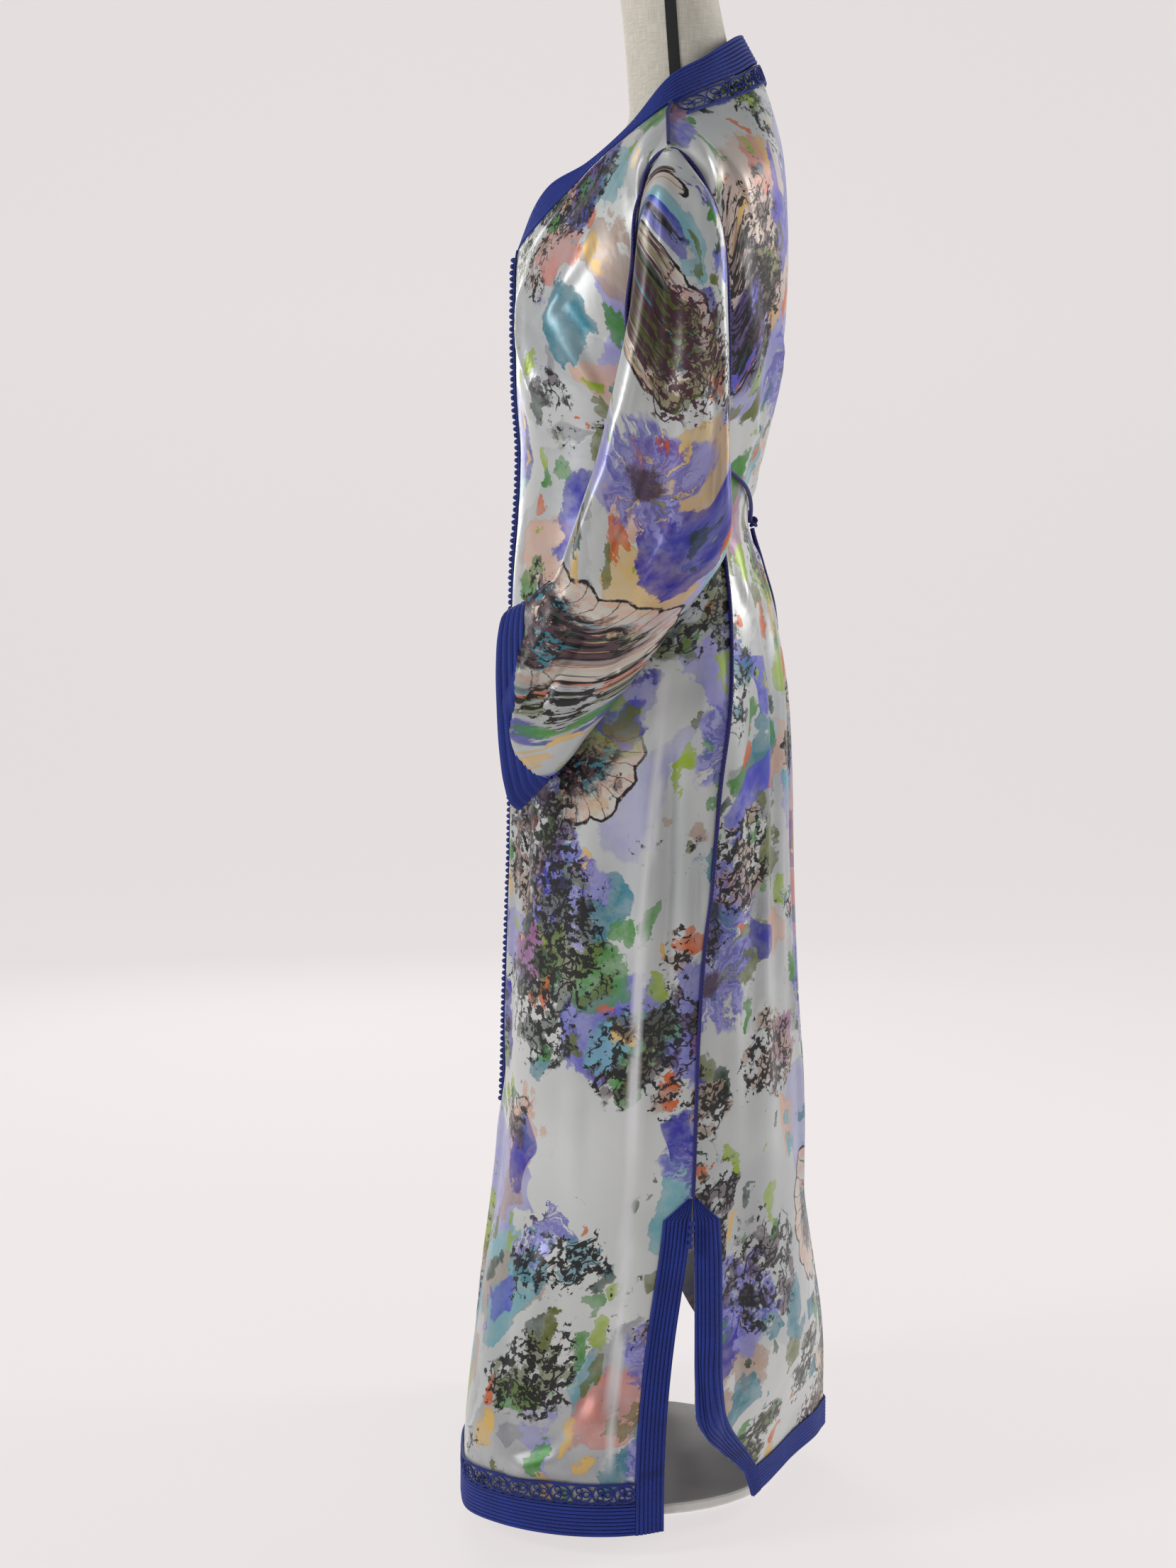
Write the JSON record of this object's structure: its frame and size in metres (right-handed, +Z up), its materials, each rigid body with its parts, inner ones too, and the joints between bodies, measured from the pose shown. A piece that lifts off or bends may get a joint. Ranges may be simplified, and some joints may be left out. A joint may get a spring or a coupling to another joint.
{
  "type": "moroccan kaftan on a dress form",
  "caption": "Full-length printed satin Moroccan kaftan with blue braid, lace and a knotted button row, on a limbless dress form with a pole and round base.",
  "frame": {"origin": "centre of the base's underside, under the pole's axis", "axes": "+Z up, +X towards the wearer's left, -Y towards the garment's front"},
  "size_m": [0.4792, 0.3719, 1.53],
  "materials": {
    "satin": "printed satin with a soft sheen",
    "braid": "royal blue corded braid and lace, matte",
    "piping": "dark navy twisted cord",
    "linen": "cream linen, matte",
    "steel": "brushed",
    "base": "off-white paint, satin"
  },
  "bodies": {
    "root": {"front_left": "satin", "front_right": "satin", "back": "satin", "sleeve_left": "satin", "sleeve_right": "satin", "neck_band": "braid", "back_neck_lace": "braid", "front_strip_left": "braid", "front_strip_right": "braid", "front_buttons": "braid", "front_hem_band_left": "braid", "front_hem_band_right": "braid", "front_hem_lace_left": "braid", "front_hem_lace_right": "braid", "back_hem_band": "braid", "front_slit_band_left": "braid", "front_slit_band_right": "braid", "back_slit_band_left": "braid", "back_slit_band_right": "braid", "cuff_band_left": "braid", "cuff_band_right": "braid", "cuff_lace_left": "braid", "cuff_lace_right": "braid", "slit_knots_left": "braid", "slit_knots_right": "braid", "side_piping_left": "piping", "side_piping_right": "piping", "armhole_piping_left": "piping", "armhole_piping_right": "piping", "shoulder_piping_left": "piping", "shoulder_piping_right": "piping", "waist_tie_left": "piping", "waist_tie_right": "piping", "waist_tie_knot": "piping", "tie_end_long": "piping", "tie_end_short": "piping", "dress_form": "linen", "pole": "steel", "base": "base"}
  },
  "joints": []
}
